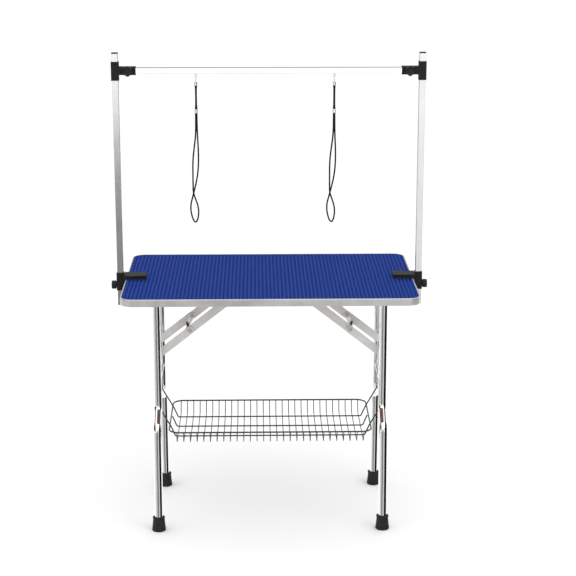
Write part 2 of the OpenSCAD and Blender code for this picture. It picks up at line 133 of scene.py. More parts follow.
def add_tube(shape, path, radius, sides=16, closed=False):
    """Sweeps a round section along a path, with its turn carried on from point to point."""
    uv = shape.loops.layers.uv.verify()
    count = len(path)
    points = [Vector(p) for p in path]
    along = []
    for i in range(count):
        ahead = points[(i + 1) % count] if closed or i + 1 < count else points[i]
        behind = points[i - 1] if closed or i > 0 else points[i]
        along.append((ahead - behind).normalized())
    across = along[0].orthogonal().normalized()
    rings = []
    travel = [0.0]
    for i in range(count):
        across = (across - along[i] * across.dot(along[i])).normalized()
        other = along[i].cross(across)
        rings.append([shape.verts.new(points[i] + radius * (
            math.cos(math.tau * k / sides) * across + math.sin(math.tau * k / sides) * other))
            for k in range(sides)])
        if i:
            travel.append(travel[-1] + (points[i] - points[i - 1]).length)
    spans = count if closed else count - 1
    offset = 0
    if closed:
        first = rings[0][0].co - points[0]
        carried = across - along[0] * across.dot(along[0])
        turn = math.atan2(first.cross(carried).dot(along[0]), first.dot(carried))
        offset = round(turn / math.tau * sides)
    for i in range(spans):
        here, there = rings[i], rings[(i + 1) % count]
        shift = offset if closed and i == count - 1 else 0
        for k in range(sides):
            n = (k + 1) % sides
            face = shape.faces.new((here[k], here[n], there[(n + shift) % sides], there[(k + shift) % sides]))
            ends = (travel[i], travel[i + 1] if i + 1 < count else travel[i] + 0.01)
            for loop, u, v in zip(face.loops, (k, k + 1, k + 1, k), (ends[0], ends[0], ends[1], ends[1])):
                loop[uv].uv = (u / sides, v)
    if not closed:
        shape.faces.new(rings[0][::-1])
        shape.faces.new(rings[-1])


def add_lathe(shape, profile, place, sides=40):
    """Turns (radius, height) pairs about Z, then puts the result in place."""
    rings = []
    for radius, height in profile:
        if radius < 1e-6:
            rings.append([shape.verts.new(place @ Vector((0, 0, height)))])
        else:
            rings.append([shape.verts.new(place @ Vector((
                radius * math.cos(math.tau * k / sides), radius * math.sin(math.tau * k / sides), height)))
                for k in range(sides)])
    for low, high in zip(rings, rings[1:]):
        for k in range(sides):
            n = (k + 1) % sides
            corners = [low[k % len(low)], low[n % len(low)], high[n % len(high)], high[k % len(high)]]
            unique = list(dict.fromkeys(corners))
            if len(unique) > 2:
                shape.faces.new(unique)


def rounded_path(corners, radius, steps=6, closed=False):
    """A path through corner points, with an arc of the given radius at each bend."""
    points = [Vector(c) for c in corners]
    path = []
    last = len(points) - 1
    for i, corner in enumerate(points):
        if not closed and i in (0, last):
            path.append(corner)
            continue
        back = (points[i - 1] - corner).normalized()
        ahead = (points[(i + 1) % len(points)] - corner).normalized()
        half = back.angle(ahead) / 2
        reach = radius / math.tan(half)
        centre = corner + (back + ahead).normalized() * radius / math.sin(half)
        start = corner + back * reach - centre
        end = corner + ahead * reach - centre
        for step in range(steps + 1):
            path.append(centre + radius * start.slerp(end, step / steps).normalized())
    return path


def smooth_route(points, steps=6):
    """A Catmull-Rom line through every point of a route."""
    line = [Vector(p) for p in points]
    padded = [2 * line[0] - line[1], *line, 2 * line[-1] - line[-2]]
    route = []
    for a, b, c, d in zip(padded, padded[1:], padded[2:], padded[3:]):
        for step in range(steps):
            t = step / steps
            route.append(0.5 * (2 * b + (c - a) * t + (2 * a - 5 * b + 4 * c - d) * t * t
                                + (3 * b - a - 3 * c + d) * t ** 3))
    route.append(line[-1])
    return route


def add_bevel(piece, width, segments):
    """Breaks a piece's sharp edges."""
    bevel = piece.modifiers.new("bevel", "BEVEL")
    bevel.width = width
    bevel.segments = segments
    bevel.limit_method = "ANGLE"
    bevel.angle_limit = math.radians(50)
    bevel.harden_normals = True


def softened(node, slot, look, width=0.0006, segments=2):
    """A copy of a CAD node with its sharp edges broken, which stands for the node."""
    source = NODES[node]
    mesh = source.data.copy()
    shape = bmesh.new()
    shape.from_mesh(mesh)
    bmesh.ops.remove_doubles(shape, verts=shape.verts, dist=1e-6)
    bmesh.ops.dissolve_limit(shape, angle_limit=math.radians(1), verts=shape.verts, edges=shape.edges)
    shape.to_mesh(mesh)
    shape.free()
    piece = new_object(f"{node}_finished", mesh, source["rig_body"], slot, look, (node,))
    add_bevel(piece, width, segments)
    return piece


def add_fluted(shape, profile, place, flutes=6, depth=0.0022, sides=72):
    """A lathe form whose rim is scalloped by a number of finger flutes."""
    widest = max(radius for radius, height in profile)
    rings = []
    for radius, height in profile:
        if radius < 1e-6:
            rings.append([shape.verts.new(place @ Vector((0, 0, height)))])
            continue
        ring = []
        for k in range(sides):
            angle = math.tau * k / sides
            scallop = max(0.0, math.cos(flutes * angle)) ** 1.5
            reach = radius - depth * scallop * (radius / widest) ** 4
            ring.append(shape.verts.new(place @ Vector((reach * math.cos(angle), reach * math.sin(angle),
                                                        height))))
        rings.append(ring)
    for low, high in zip(rings, rings[1:]):
        for k in range(sides):
            n = (k + 1) % sides
            corners = [low[k % len(low)], low[n % len(low)], high[n % len(high)], high[k % len(high)]]
            unique = list(dict.fromkeys(corners))
            if len(unique) > 2:
                shape.faces.new(unique)


def add_thread(shape, radius, low, high, place, pitch=0.0015, depth=0.0005, sides=24):
    """A screw thread about Z: each ring's radius rises and falls along a helix."""
    steps = int((high - low) / (pitch / 4))
    rings = []
    for i in range(steps + 1):
        height = low + (high - low) * i / steps
        ring = []
        for k in range(sides):
            angle = math.tau * k / sides
            phase = (height / pitch - k / sides) % 1.0
            reach = radius - depth * abs(2 * phase - 1)
            ring.append(shape.verts.new(place @ Vector((reach * math.cos(angle), reach * math.sin(angle),
                                                        height))))
        rings.append(ring)
    for below, above in zip(rings, rings[1:]):
        for k in range(sides):
            n = (k + 1) % sides
            shape.faces.new((below[k], below[n], above[n], above[k]))
    shape.faces.new(rings[0][::-1])
    shape.faces.new(rings[-1])


def facing(point, direction):
    """A placing matrix that puts +Z along a direction, from a point."""
    turn = Vector((0, 0, 1)).rotation_difference(Vector(direction))
    return Matrix.Translation(Vector(point)) @ turn.to_matrix().to_4x4()


# ---------------------------------------------------------------- materials

def surface(name, tones, roughness, metallic=0.0, grain=(60.0, 4.0), grain_stretch=(1, 1, 1),
            bump=0.1, bump_scale=900.0, bump_stretch=(1, 1, 1), bump_distance=0.0002, **sockets):
    """A procedural finish: two tones and two roughnesses mixed by noise, and a fine bump."""
    look = bpy.data.materials.new(name)
    look.use_nodes = True
    nodes, links = look.node_tree.nodes, look.node_tree.links
    shader = nodes["Principled BSDF"]
    where = nodes.new("ShaderNodeTexCoord")
    stretch = nodes.new("ShaderNodeMapping")
    stretch.inputs["Scale"].default_value = grain_stretch
    links.new(where.outputs["Object"], stretch.inputs["Vector"])
    noise = nodes.new("ShaderNodeTexNoise")
    noise.inputs["Scale"].default_value = grain[0]
    noise.inputs["Detail"].default_value = grain[1]
    links.new(stretch.outputs["Vector"], noise.inputs["Vector"])
    tint = nodes.new("ShaderNodeValToRGB")
    tint.color_ramp.elements[0].position = 0.35
    tint.color_ramp.elements[1].position = 0.65
    tint.color_ramp.elements[0].color = (*tones[0], 1)
    tint.color_ramp.elements[1].color = (*tones[1], 1)
    links.new(noise.outputs["Fac"], tint.inputs["Fac"])
    links.new(tint.outputs["Color"], shader.inputs["Base Color"])
    gloss = nodes.new("ShaderNodeMapRange")
    gloss.inputs["From Min"].default_value = 0.3
    gloss.inputs["From Max"].default_value = 0.7
    gloss.inputs["To Min"].default_value = roughness[0]
    gloss.inputs["To Max"].default_value = roughness[1]
    links.new(noise.outputs["Fac"], gloss.inputs["Value"])
    links.new(gloss.outputs["Result"], shader.inputs["Roughness"])
    if bump:
        fine_stretch = nodes.new("ShaderNodeMapping")
        fine_stretch.inputs["Scale"].default_value = bump_stretch
        links.new(where.outputs["Object"], fine_stretch.inputs["Vector"])
        fine = nodes.new("ShaderNodeTexNoise")
        fine.inputs["Scale"].default_value = bump_scale
        fine.inputs["Detail"].default_value = 2.0
        links.new(fine_stretch.outputs["Vector"], fine.inputs["Vector"])
        relief = nodes.new("ShaderNodeBump")
        relief.inputs["Strength"].default_value = bump
        relief.inputs["Distance"].default_value = bump_distance
        links.new(fine.outputs["Fac"], relief.inputs["Height"])
        links.new(relief.outputs["Normal"], shader.inputs["Normal"])
    shader.inputs["Metallic"].default_value = metallic
    for socket, value in sockets.items():
        shader.inputs[socket.replace("_", " ")].default_value = value
    return look


def braid():
    """Plaited cord: crossing diagonal strands drawn from the tube's own run and turn."""
    look = surface("cord_braid", ((0.004, 0.004, 0.004), (0.014, 0.014, 0.015)), (0.55, 0.8),
                   grain=(900.0, 3.0), bump=0, Specular_IOR_Level=0.15)
    nodes, links = look.node_tree.nodes, look.node_tree.links
    unwrapped = nodes.new("ShaderNodeUVMap")
    parts = nodes.new("ShaderNodeSeparateXYZ")
    links.new(unwrapped.outputs["UV"], parts.inputs["Vector"])
    waves = []
    for sign in (1, -1):
        run = nodes.new("ShaderNodeMath")
        run.operation = "MULTIPLY"
        run.inputs[1].default_value = sign * 1500.0
        links.new(parts.outputs["Y"], run.inputs[0])
        turn = nodes.new("ShaderNodeMath")
        turn.operation = "MULTIPLY_ADD"
        turn.inputs[1].default_value = math.tau * 6
        links.new(parts.outputs["X"], turn.inputs[0])
        links.new(run.outputs[0], turn.inputs[2])
        wave = nodes.new("ShaderNodeMath")
        wave.operation = "SINE"
        links.new(turn.outputs[0], wave.inputs[0])
        waves.append(wave)
    plait = nodes.new("ShaderNodeMath")
    plait.operation = "MAXIMUM"
    links.new(waves[0].outputs[0], plait.inputs[0])
    links.new(waves[1].outputs[0], plait.inputs[1])
    relief = nodes.new("ShaderNodeBump")
    relief.inputs["Strength"].default_value = 0.8
    relief.inputs["Distance"].default_value = 0.0004
    links.new(plait.outputs[0], relief.inputs["Height"])
    links.new(relief.outputs["Normal"], nodes["Principled BSDF"].inputs["Normal"])
    return look


def ribbed_rubber():
    """The mat's rubber: fine-grained, with painted shade that darkens it down in the grooves between its
    ribs.
    """
    look = surface("mat_rubber", ((0.010, 0.037, 0.218), (0.015, 0.046, 0.245)), (0.7, 0.85),
                   grain=(40.0, 5.0), bump=0.2, bump_scale=1400.0, Specular_IOR_Level=0.06)
    nodes, links = look.node_tree.nodes, look.node_tree.links
    shader = nodes["Principled BSDF"]
    speckle = shader.inputs["Base Color"].links[0].from_socket
    where = nodes.new("ShaderNodeTexCoord")
    parts = nodes.new("ShaderNodeSeparateXYZ")
    # Painted shade: the base colour is mixed toward a dark blue by depth below the rib crests, darkening the
    # grooves where the ribs shade them.
    depth = nodes.new("ShaderNodeMapRange")
    depth.inputs["From Min"].default_value = MAT_HIGH.z - RIB_DEPTH
    depth.inputs["From Max"].default_value = MAT_HIGH.z
    tint = nodes.new("ShaderNodeMix")
    tint.data_type = "RGBA"
    tint.inputs["A"].default_value = (0.001, 0.018, 0.165, 1)
    links.new(where.outputs["Object"], parts.inputs["Vector"])
    links.new(parts.outputs["Z"], depth.inputs["Value"])
    links.new(depth.outputs["Result"], tint.inputs["Factor"])
    links.new(speckle, tint.inputs["B"])
    links.new(tint.outputs["Result"], shader.inputs["Base Color"])
    return look


def make_looks():
    """Every finish on the table, by name."""
    return {
        "mat": ribbed_rubber(),
        "board": surface("board_chip", ((0.10, 0.055, 0.035), (0.19, 0.115, 0.075)), (0.65, 0.85),
                         grain=(240.0, 6.0), bump=0.4, bump_scale=500.0),
        "band": surface("band_aluminium", ((0.50, 0.48, 0.485), (0.57, 0.55, 0.555)), (0.34, 0.46),
                        metallic=0.55,
                        grain=(25.0, 3.0), bump=0.08, bump_scale=700.0, bump_stretch=(0.05, 0.05, 1)),
        "bracket": surface("bracket_zinc", ((0.50, 0.50, 0.49), (0.66, 0.66, 0.65)), (0.3, 0.48),
                           metallic=0.85,
                           grain=(90.0, 4.0), bump=0.1),
        "brace": surface("brace_enamel", ((0.60, 0.595, 0.585), (0.66, 0.655, 0.645)), (0.36, 0.5),
                         metallic=0.15,
                         grain=(35.0, 4.0), bump=0.12, bump_scale=500.0, Coat_Weight=0.15,
                         Coat_Roughness=0.3),
        "clamp": surface("clamp_powder_coat", ((0.006, 0.006, 0.005), (0.011, 0.011, 0.010)), (0.42, 0.6),
                         grain=(120.0, 3.0), bump=0.3, bump_scale=1100.0, bump_distance=0.0002,
                         Specular_IOR_Level=0.22),
        "pad": surface("pad_rubber", ((0.012, 0.012, 0.013), (0.022, 0.022, 0.023)), (0.7, 0.9), bump=0.3),
        "chrome": surface("tube_chrome", ((0.86, 0.865, 0.87), (0.92, 0.92, 0.925)), (0.03, 0.06),
                          metallic=1.0,
                          grain=(30.0, 4.0), bump=0.015, bump_scale=60.0, bump_distance=0.0002),
        "knob": surface("knob_plastic", ((0.006, 0.006, 0.006), (0.010, 0.010, 0.011)), (0.3, 0.45),
                        grain=(150.0, 3.0), bump=0.15, bump_scale=1500.0, Specular_IOR_Level=0.3),
        "upright": surface("upright_satin", ((0.78, 0.775, 0.765), (0.86, 0.855, 0.85)), (0.12, 0.2),
                           metallic=1.0,
                           grain=(20.0, 3.0), bump=0.04, bump_scale=500.0, bump_stretch=(1, 1, 0.03)),
        "foot": surface("foot_rubber", ((0.010, 0.010, 0.010), (0.018, 0.018, 0.018)), (0.6, 0.8),
                        grain=(80.0, 4.0), bump=0.3, Specular_IOR_Level=0.3),
        "cord": braid(),
        "bright": surface("latch_bright_zinc", ((0.80, 0.80, 0.79), (0.90, 0.90, 0.89)), (0.25, 0.4),
                          metallic=0.3, grain=(150.0, 4.0), bump=0.1),
        "rivet": surface("rivet_zinc", ((0.50, 0.49, 0.47), (0.62, 0.61, 0.59)), (0.3, 0.5),
                         metallic=0.8, grain=(200.0, 4.0), bump=0.1),
        "wire": surface("basket_black_coat", ((0.010, 0.010, 0.011), (0.020, 0.020, 0.021)), (0.25, 0.4),
                        grain=(150.0, 3.0), bump=0.15, bump_scale=800.0, Coat_Weight=0.3,
                        Coat_Roughness=0.15),
        "screw": surface("screw_zinc", ((0.55, 0.55, 0.53), (0.72, 0.72, 0.70)), (0.2, 0.35), metallic=1.0,
                         grain=(300.0, 3.0), bump=0.05),
    }


# ---------------------------------------------------------------- the table top

TOP_LOW, TOP_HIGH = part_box("edge_band")
MAT_LOW, MAT_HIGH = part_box("ribbed_mat")
CORNER_RADIUS = 0.040
RIB_PITCH = 0.012
RIB_DEPTH = 0.0020
LIP_THICKNESS = TOP_HIGH.z - MAT_HIGH.z


def outline(inset, arc_steps=12):
    """The top's outline drawn in by an inset, as points round it."""
    radius = CORNER_RADIUS - inset
    points = []
    for turn, (sx, sy) in enumerate(((1, 1), (-1, 1), (-1, -1), (1, -1))):
        middle = Vector((sx * (TOP_HIGH.x - CORNER_RADIUS), sy * (TOP_HIGH.y - CORNER_RADIUS)))
        for step in range(arc_steps + 1):
            angle = math.pi / 2 * (turn + step / arc_steps)
            points.append(middle + radius * Vector((math.cos(angle), math.sin(angle))))
    return points


def build_band(looks):
    """The metal edge band: a rounded channel that laps over the mat and under the board."""
    low, high, skin, lap = TOP_LOW.z, TOP_HIGH.z, 0.0015, 0.004
    profile = [(lap, low), (0.0016, low), (0.0005, low + 0.0005), (0, low + 0.0016), (0, low + 0.003),
               (0, high - 0.005), (0, high - 0.0024), (0.0004, high - 0.0010), (0.0011, high - 0.0003),
               (0.0020, high), (lap - 0.0008, high), (lap - 0.0002, high - 0.0002),
               (lap, high - LIP_THICKNESS),
               (skin, high - LIP_THICKNESS), (skin, low + LIP_THICKNESS), (lap, low + LIP_THICKNESS)]

    def build(shape):
        loops = [[shape.verts.new((p.x, p.y, z)) for p in outline(inset)] for inset, z in profile]
        for here, there in zip(loops, loops[1:] + loops[:1]):
            for k in range(len(here)):
                n = (k + 1) % len(here)
                shape.faces.new((here[k], here[n], there[n], there[k]))

    new_piece("edge_band_rolled", build, "tabletop", "band", looks["band"],
               ("edge_band",))


def build_mat(looks):
    """The rubber mat: ribs along Y, cut to the rounded outline under the band's lip."""
    half_x, half_y = MAT_HIGH.x, MAT_HIGH.y
    radius = CORNER_RADIUS - (TOP_HIGH.x - half_x)
    rib = [(0.0, 1.0), (0.22, 1.0), (0.30, 0.6), (0.36, 0.15), (0.42, 0.0), (0.80, 0.0), (0.86, 0.15),
           (0.92, 0.6)]
    count = int(2 * half_x / RIB_PITCH)
    start = -RIB_PITCH * count / 2
    stations = [(-half_x, 0.0)]
    for i in range(count):
        stations += [(start + RIB_PITCH * (i + share), RIB_DEPTH * depth) for share, depth in rib]
    stations = [s for s in stations if -half_x <= s[0] < half_x] + [(half_x, 0.0)]

    def reach(x):
        past = max(0.0, abs(x) - (half_x - radius))
        return half_y - radius + math.sqrt(max(0.0, radius ** 2 - past ** 2))

    def build(shape):
        rows = []
        for x, depth in stations:
            y = reach(x)
            top = MAT_HIGH.z - depth
            rows.append([shape.verts.new(p) for p in ((x, -y, top), (x, y, top), (x, y, MAT_LOW.z),
                                                      (x, -y, MAT_LOW.z))])
        for here, there in zip(rows, rows[1:]):
            for k in range(4):
                n = (k + 1) % 4
                shape.faces.new((here[k], here[n], there[n], there[k]))
        shape.faces.new(rows[0][::-1])
        shape.faces.new(rows[-1])

    new_piece("mat_with_ribs", build, "tabletop", "mat", looks["mat"],
               ("ribbed_mat",), smooth_angle=50)


def build_screws(looks):
    """Pan-head screws with a round recess in the head, under the brackets."""
    low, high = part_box("wood_screws")
    head_radius = 0.0035
    spots = set()
    for vertex in NODES["wood_screws"].data.vertices:
        spots.add((vertex.co.x, vertex.co.y))
    centres = []
    for x, y in sorted(spots):
        near = [c for c in centres if (Vector(c[0]) - Vector((x, y))).length < 2.5 * head_radius]
        if near:
            near[0][1].append((x, y))
        else:
            centres.append(((x, y), [(x, y)]))

    def build(shape):
        for _, members in centres:
            x = (min(m[0] for m in members) + max(m[0] for m in members)) / 2
            y = (min(m[1] for m in members) + max(m[1] for m in members)) / 2
            place = facing((x, y, high.z), (0, 0, -1))
            deep = high.z - low.z
            profile = [(head_radius, 0), (head_radius, 0.3 * deep), (0.9 * head_radius, 0.7 * deep),
                       (0.6 * head_radius, 0.93 * deep), (0.32 * head_radius, deep),
                       (0.25 * head_radius, 0.5 * deep), (0, 0.45 * deep)]
            add_lathe(shape, profile, place, 20)

    new_piece("wood_screw_heads", build, "tabletop", "screw_steel", looks["screw"],
               ("wood_screws",))


def build_top(looks):
    build_band(looks)
    build_mat(looks)
    build_screws(looks)
    softened("table_board", "board", looks["board"], 0.0004)
    for side in SIDES:
        softened(f"hinge_brackets_{side}", "bracket_steel", looks["bracket"])
        softened(f"brace_brackets_{side}", "bracket_steel", looks["bracket"])


# ---------------------------------------------------------------- the leg frames

TUBE_RADIUS = 0.0135
BEND_RADIUS = 0.032
BEND_ANGLE = math.radians(52)
SPLAY_ANGLE = math.radians(3.1)
JOG_LENGTH = 0.046


def leg_route(side, end):
    """The leg tube's centre line: straight down, a bend out, a jog, a bend back, and a splayed lower run."""
    low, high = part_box(f"leg_tube_{end}_{side}")
    axle_low, axle_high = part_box(f"axle_tube_{side}")
    x = (axle_low.x + axle_high.x) / 2
    axle_z = (axle_low.z + axle_high.z) / 2
    sign = ENDS[end]
    inner_y = (low.y if sign > 0 else -high.y) + TUBE_RADIUS
    bend_top = axle_z - 0.349

    def point(y, z):
        return Vector((x, sign * y, z))

    route = [point(inner_y, axle_z)]
    steps = 10
    centre_y = inner_y + BEND_RADIUS
    for step in range(steps + 1):
        angle = BEND_ANGLE * step / steps
        route.append(point(centre_y - BEND_RADIUS * math.cos(angle),
                           bend_top - BEND_RADIUS * math.sin(angle)))
    jog_y = centre_y - BEND_RADIUS * math.cos(BEND_ANGLE) + JOG_LENGTH * math.sin(BEND_ANGLE)
    jog_z = bend_top - BEND_RADIUS * math.sin(BEND_ANGLE) - JOG_LENGTH * math.cos(BEND_ANGLE)
    centre_y = jog_y - BEND_RADIUS * math.cos(BEND_ANGLE)
    centre_z = jog_z - BEND_RADIUS * math.sin(BEND_ANGLE)
    for step in range(steps + 1):
        angle = BEND_ANGLE + (SPLAY_ANGLE - BEND_ANGLE) * step / steps
        route.append(point(centre_y + BEND_RADIUS * math.cos(angle),
                           centre_z + BEND_RADIUS * math.sin(angle)))
    foot_z = low.z + 0.002
    last = route[-1]
    drop = last.z - foot_z
    route.append(point(sign * last.y + drop * math.tan(SPLAY_ANGLE), foot_z))
    return route


def build_leg_tube(side, end, looks):
    """A chromed tube whose upper end is domed over the axle."""
    route = leg_route(side, end)
    name = f"leg_tube_bent_{end}_{side}"

    def build(shape):
        add_tube(shape, route, TUBE_RADIUS, 48)
        dome = [(TUBE_RADIUS * math.cos(a), TUBE_RADIUS * math.sin(a)) for a in
                (math.radians(d) for d in range(0, 91, 10))]
        add_lathe(shape, [(0, -0.0001), (TUBE_RADIUS, 0), *dome[1:-1], (0, TUBE_RADIUS)],
                  Matrix.Translation(route[0]), 48)

    new_piece(name, build, f"leg_{side}", "chrome", looks["chrome"],
               (f"leg_tube_{end}_{side}",), smooth_angle=45)


def build_axle(side, looks):
    """The folding axle: a tube with rolled ends."""
    low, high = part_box(f"axle_tube_{side}")
    centre = (low + high) / 2
    radius = (high.z - low.z) / 2
    half = (high.y - low.y) / 2
    bore = radius - 0.0015
    outer = [(bore, -half + 0.006), (bore, -half + 0.001), (radius - 0.0012, -half),
             (radius - 0.0003, -half + 0.0004),
             (radius, -half + 0.0012)]
    profile = [(0, -half + 0.006), *outer, *[(r, -h) for r, h in reversed(outer)], (0, half - 0.006)]

    def build(shape):
        add_lathe(shape, profile, facing(centre, (0, 1, 0)), 40)

    name = f"axle_rolled_{side}"
    new_piece(name, build, f"leg_{side}", "chrome", looks["chrome"], (f"axle_tube_{side}",))


def build_crossbar(side, looks):
    """The tie between the two tubes, with a weld bead round each end."""
    low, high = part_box(f"leg_crossbar_{side}")
    centre = (low + high) / 2
    radius = (high.z - low.z) / 2
    tube_low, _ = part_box(f"leg_tube_rear_{side}")
    reach = tube_low.y + TUBE_RADIUS
    face = tube_low.y

    def build(shape):
        add_tube(shape, [(centre.x, -reach, centre.z), (centre.x, reach, centre.z)], radius, 32)
        for sign in (-1, 1):
            bead = []
            for k in range(36):
                angle = math.tau * k / 36
                across = (radius + 0.0008) * math.cos(angle)
                saddle = TUBE_RADIUS - math.sqrt(TUBE_RADIUS ** 2 - across ** 2)
                bead.append((centre.x + across, sign * (face + saddle - 0.0006),
                             centre.z + (radius + 0.0008) * math.sin(angle)))
            add_tube(shape, bead, 0.0017, 10, closed=True)

    name = f"crossbar_welded_{side}"
    new_piece(name, build, f"leg_{side}", "chrome", looks["chrome"], (f"leg_crossbar_{side}",))


def build_studs(side, looks):
    """Brace studs and basket pegs, with domed outer heads."""
    low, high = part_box(f"leg_studs_{side}")
    x = (low.x + high.x) / 2
    tube_low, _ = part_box(f"leg_tube_rear_{side}")
    stud_radius = (high.x - low.x) / 2
    peg_radius = 0.0035
    stud_z = high.z - stud_radius
    peg_z = low.z + peg_radius
    _, brace_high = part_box(f"lower_links_{side}")

    def rivet(shape, start, end, radius, sign, z):
        length = end - start
        profile = [(0, 0), (radius * 0.55, 0.0001), (radius * 0.85, 0.0005), (radius, 0.0014),
                   (radius, length), (0, length)]
        add_lathe(shape, profile, facing((x, sign * start, z), (0, sign, 0)), 28)

    def build(shape):
        for sign in (-1, 1):
            rivet(shape, brace_high.y + 0.0006, tube_low.y + 0.004, stud_radius, sign, stud_z)
            rivet(shape, tube_low.y - 0.010, tube_low.y + 0.004, peg_radius, sign, peg_z)

    name = f"studs_domed_{side}"
    new_piece(name, build, f"leg_{side}", "bracket_steel", looks["screw"], (f"leg_studs_{side}",))


def build_feet(side, looks):
    """Rubber boots with a rolled collar, a taper and a ringed sole."""
    low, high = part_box(f"rubber_feet_{side}")
    x = (low.x + high.x) / 2
    radius = (high.x - low.x) / 2
    foot_y = high.y - radius
    height = high.z - low.z
    profile = [(0, 0.0008), (radius - 0.007, 0.0008), (radius - 0.006, 0), (radius - 0.0012, 0),
               (radius, 0.0013),
               (radius, 0.0078), (radius - 0.0006, 0.0088), (radius - 0.0014, 0.0092),
               (radius - 0.0014, 0.0106),
               (radius - 0.0009, 0.0116), (radius - 0.0012, 0.014), (radius - 0.0036, height - 0.0078),
               (radius - 0.0036, height - 0.0066), (radius - 0.0026, height - 0.0056),
               (radius - 0.0025, height - 0.0014), (radius - 0.0034, height - 0.0004),
               (radius - 0.0045, height),
               (TUBE_RADIUS + 0.0012, height), (TUBE_RADIUS + 0.0002, height - 0.001),
               (TUBE_RADIUS - 0.001, height - 0.003), (0, height - 0.004)]

    def build(shape):
        for sign in (-1, 1):
            add_lathe(shape, profile, Matrix.Translation((x, sign * foot_y, low.z)), 48)

    name = f"feet_moulded_{side}"
    new_piece(name, build, f"leg_{side}", "foot_rubber", looks["foot"], (f"rubber_feet_{side}",))


def build_legs(looks):
    for side in SIDES:
        for end in ENDS:
            build_leg_tube(side, end, looks)
        build_axle(side, looks)
        build_crossbar(side, looks)
        build_studs(side, looks)
        build_feet(side, looks)


# ---------------------------------------------------------------- braces and their latch

def build_rivets(side, looks):
    """The middle pins of the braces, with a domed head on each side."""
    low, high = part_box(f"brace_rivets_{side}")
    centre = (low + high) / 2
    head_radius = (high.x - low.x) / 2
    _, lever_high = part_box(f"latch_lever_{side}")
    reach = high.y
    inner = lever_high.y - 0.0053

    def build(shape):
        for sign in (-1, 1):
            length = reach - inner
            profile = [(0, -0.0002), (head_radius * 0.5, 0), (head_radius * 0.85, 0.0005),
                       (head_radius, 0.0014),
                       (head_radius, 0.002), (0.004, 0.002), (0.004, length - 0.002),
                       (head_radius, length - 0.002),
                       (head_radius, length - 0.0014), (head_radius * 0.85, length - 0.0005),
                       (head_radius * 0.5, length), (0, length + 0.0002)]
            add_lathe(shape, profile, facing((centre.x, sign * inner, centre.z), (0, sign, 0)), 36)

    name = f"rivets_domed_{side}"
    new_piece(name, build, f"brace_upper_{side}", "bracket_steel", looks["rivet"],
               (f"brace_rivets_{side}",))


def build_latch(side, looks):
    """The spring catch: a bright dog-leg plate on the rivet, and a black grip moulded over its tab."""
    lever_low, lever_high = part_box(f"latch_lever_{side}")
    rivet_low, rivet_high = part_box(f"brace_rivets_{side}")
    pivot = (rivet_low + rivet_high) / 2
    plate_y = (lever_high.y - 0.003, lever_high.y)
    inward = -SIDES[side]

    def prism(shape, outline_points, near_y, far_y):
        faces = []
        for y in (near_y, far_y):
            faces.append([shape.verts.new((pivot.x + inward * px, y, pivot.z + pz)) for px,
                          pz in outline_points])
        count = len(outline_points)
        shape.faces.new(faces[0])
        shape.faces.new(faces[1][::-1])
        for k in range(count):
            n = (k + 1) % count
            shape.faces.new((faces[0][k], faces[1][k], faces[1][n], faces[0][n]))

    ring = [(0.010 * math.cos(math.radians(a)), 0.010 * math.sin(math.radians(a))) for a in range(-20, 160,
                                                                                                  12)]

    def build_plate(shape):
        prism(shape, [*ring, (-0.0105, -0.006), (-0.0190, -0.018), (-0.0225, -0.034), (-0.0110, -0.034),
                      (-0.0020, -0.022)], *plate_y)

    def build_grip(shape):
        prism(shape, [(-0.0195, -0.020), (-0.0165, -0.0180), (-0.0080, -0.0300), (-0.0095, -0.0420),
                      (-0.0090, -0.0565), (-0.0130, -0.0535), (-0.0170, -0.0525), (-0.0210, -0.0545),
                      (-0.0252, -0.0575), (-0.0235, -0.0450), (-0.0150, -0.0320)], lever_low.y,
                      plate_y[1] + 0.0004)

    plate_name = f"latch_plate_{side}"
    plate = new_piece(plate_name, build_plate, f"latch_{side}", "latch_steel",
                       looks["bright"], (f"latch_lever_{side}",))
    grip_name = f"latch_grip_{side}"
    grip = new_piece(grip_name, build_grip, f"latch_{side}", "knob_plastic", looks["knob"])
    for piece, width in ((plate, 0.0005), (grip, 0.0012)):
        add_bevel(piece, width, 3)


def build_braces(looks):
    for side in SIDES:
        softened(f"upper_links_{side}", "bracket_steel", looks["brace"], 0.001, 3)
        softened(f"lower_links_{side}", "bracket_steel", looks["brace"], 0.001, 3)
        build_latch(side, looks)
        build_rivets(side, looks)


# ---------------------------------------------------------------- the overhead bar

def build_clamp(side, looks):
    softened(f"clamp_frame_{side}", "clamp_iron", looks["clamp"], 0.0016, 3)
    softened(f"clamp_pad_{side}", "pad_rubber", looks["pad"], 0.0006)
    low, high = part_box(f"clamp_screw_{side}")
    x = (low.x + high.x) / 2
    y = (low.y + high.y) / 2
    bar_z = low.z + 0.005
    half = (high.x - low.x) / 2

    def build(shape):
        foot = Matrix.Translation((x, y, 0))
        top = high.z
        add_thread(shape, 0.005, low.z + 0.010, top - 0.004, foot)
        add_lathe(shape, [(0, low.z), (0.0042, low.z), (0.005, low.z + 0.0008), (0.005, low.z + 0.0095),
                          (0.0044, low.z + 0.0102), (0, low.z + 0.0102)], foot, 28)
        add_lathe(shape, [(0, top - 0.004), (0.0112, top - 0.004), (0.012, top - 0.0034),
                          (0.012, top - 0.0006),
                          (0.0114, top), (0, top)], foot, 40)
        handle = [(0, -half), (0.0022, -half + 0.0002), (0.003, -half + 0.001), (0.003, -half + 0.003),
                  (0.0026, -half + 0.0038), (0.0026, half - 0.0038), (0.003, half - 0.003),
                  (0.003, half - 0.001),
                  (0.0022, half - 0.0002), (0, half)]
        add_lathe(shape, handle, facing((x, y, bar_z), (1, 0, 0)), 24)

    name = f"clamp_screw_threaded_{side}"
    new_piece(name, build, f"clamp_screw_{side}", "chrome", looks["chrome"],
               (f"clamp_screw_{side}",))


